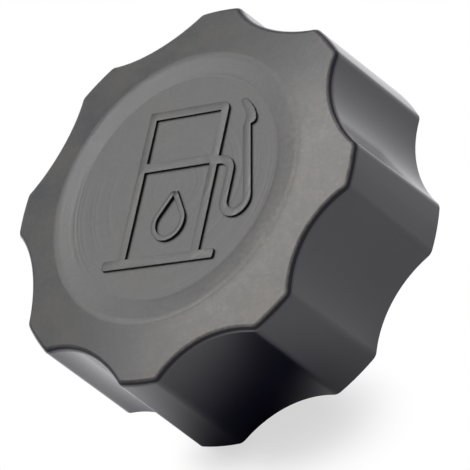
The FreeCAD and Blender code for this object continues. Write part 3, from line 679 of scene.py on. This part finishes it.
grow = FLOOR_EDGE / FLOOR_HOLE
bmesh.ops.scale(floor_ring, verts=outer, vec=(grow, grow, 1))
bmesh.ops.translate(floor_ring, verts=floor_ring.verts, vec=(0, 0, -FLOOR_DROP))
bmesh.ops.recalc_face_normals(floor_ring, faces=floor_ring.faces)
if floor_ring.faces[:][0].normal.z < 0:
    bmesh.ops.reverse_faces(floor_ring, faces=floor_ring.faces)
floor_mesh = bpy.data.meshes.new("floor")
floor_ring.to_mesh(floor_mesh)
floor_ring.free()
floor = bpy.data.objects.new("floor", floor_mesh)
bpy.context.scene.collection.objects.link(floor)

table = bpy.data.materials.new("white_table")
table.use_nodes = True
table.node_tree.nodes.clear()
on_table = Shade(table.node_tree)


def from_oval(middle, shares):
    """Return the distance from a middle on the floor, with each axis counted by its own share."""
    moved = (-middle[0] * shares[0], -middle[1] * shares[1], 0)
    oval = on_table.node("ShaderNodeMapping", {"vector_type": "POINT"}, {
        "Vector": on_table.place(), "Location": moved, "Scale": (shares[0], shares[1], 1)})
    return on_table.node("ShaderNodeVectorMath", {"operation": "LENGTH"}, {0: oval}, "Value")


camera_ray = on_table.node("ShaderNodeLightPath", output="Is Camera Ray")
glossy_ray = on_table.node("ShaderNodeLightPath", output="Is Glossy Ray")
shadow_ray = on_table.node("ShaderNodeLightPath", output="Is Shadow Ray")
from_below = on_table.node("ShaderNodeNewGeometry", output="Backfacing")
far_off = from_oval((0, 0), (1, 1)).between(FADE_FROM, FADE_TO)
unseen = on_table.math("MAXIMUM", far_off, from_below)
clear = on_table.math("MAXIMUM", camera_ray * unseen, shadow_ray)
paper = on_table.node("ShaderNodeBsdfDiffuse", {}, {"Color": TABLE_WHITE})
open_floor = from_oval(SHADOW_AT, SHADOW_SHARES).between(SHADOW_WITHIN, SHADOW_TO)
off_foot = from_oval(FOOT_AT, FOOT_SHARES).between(0, FOOT_SHADOW)
to_camera = open_floor * (1 - SHADOW_WHITE) + SHADOW_WHITE
to_camera = to_camera * (off_foot * (1 - FOOT_WHITE) + FOOT_WHITE)
# The painted dark patch, seen only in reflections
in_mirror = from_oval(DARK_AT, DARK_SHARES).between(DARK_WITHIN, DARK_TO)
mirror_colour = in_mirror.tint((0, 0, 0, 1), MIRROR_TINT)
backdrop = on_table.node("ShaderNodeEmission", {}, {
    "Color": glossy_ray.tint((1, 1, 1, 1), mirror_colour), "Strength": 1.0})
white = on_table.node("ShaderNodeMixShader", {}, {
    0: camera_ray * to_camera + glossy_ray * MIRROR_SHARE, 1: paper, 2: backdrop})
glass = on_table.node("ShaderNodeBsdfTransparent")
seen = on_table.node("ShaderNodeMixShader", {}, {0: clear, 1: white, 2: glass})
on_table.node("ShaderNodeOutputMaterial", {}, {"Surface": seen})
floor_mesh.materials.append(table)

# World: white to the camera and a dimmer white in reflections, as the dark gloss of the crown shows
# in the photograph, with a low even fill for the rest.
FILL = 0.12
MIRRORED = 0.3
world = bpy.data.worlds.new("studio")
bpy.context.scene.world = world
world.use_nodes = True
world.node_tree.nodes.clear()
in_world = Shade(world.node_tree)
camera_ray = in_world.node("ShaderNodeLightPath", output="Is Camera Ray")
glossy_ray = in_world.node("ShaderNodeLightPath", output="Is Glossy Ray")
through_ray = in_world.node("ShaderNodeLightPath", output="Is Transmission Ray")
mirrored = in_world.math("MAXIMUM", glossy_ray, through_ray) * (MIRRORED - FILL) + FILL
strength = in_world.math("MAXIMUM", camera_ray, mirrored)
light = in_world.node("ShaderNodeBackground", {}, {"Color": (1, 1, 1, 1), "Strength": strength})
in_world.node("ShaderNodeOutputWorld", {}, {"Surface": light})

# Lamps: two soft boxes above and behind the cap, as the crown's gloss shows them, and a small lamp
# under the floor's hole.
AIM = (0, 0, 0.02)


def lamp(name, place, aim, width, depth, brightness):
    """Hang a soft box that faces a point; brightness 1 shows as white in a mirror."""
    data = bpy.data.lights.new(name, "AREA")
    data.shape = "RECTANGLE"
    data.size = width
    data.size_y = depth
    data.energy = brightness * math.pi * width * depth
    box = bpy.data.objects.new(name, data)
    box.location = place
    box.rotation_mode = "QUATERNION"
    box.rotation_quaternion = (Vector(aim) - Vector(place)).to_track_quat("-Z", "Y")
    bpy.context.scene.collection.objects.link(box)


lamp("soft_box_above", (-0.269, 0.225, 0.719), AIM, width=0.72, depth=0.34, brightness=6.0)
lamp("soft_box_behind", (-0.428, 0.385, 0.556), AIM, width=0.75, depth=0.44, brightness=1.86)
lamp("lamp_below", (0, 0, -0.3), (0, 0, 0), width=0.06, depth=0.06, brightness=60.0)

# Camera: the photograph's own place, fitted to its lobes and crest ring, and rolled by 53 degrees
# as the photograph is.
SENSOR_WIDTH = 36
LENS = 204.87
EYE = Vector((302.739, -207.438, 353.945)) * MM
LOOK = Vector((-0.60088491, 0.41081156, -0.6856903))
PICTURE_UP = Vector((0.10861448, 0.89183187, 0.43913417))
camera_data = bpy.data.cameras.new("camera")
camera_data.sensor_width = SENSOR_WIDTH
camera_data.lens = LENS
camera_data.clip_start = 0.01
camera = bpy.data.objects.new("camera", camera_data)
right = LOOK.cross(PICTURE_UP).normalized()
turn = Matrix((right, right.cross(LOOK).normalized(), -LOOK.normalized())).transposed().to_4x4()
camera.matrix_world = Matrix.Translation(EYE) @ turn
bpy.context.scene.collection.objects.link(camera)
bpy.context.scene.camera = camera
bpy.context.scene.view_settings.view_transform = "Standard"
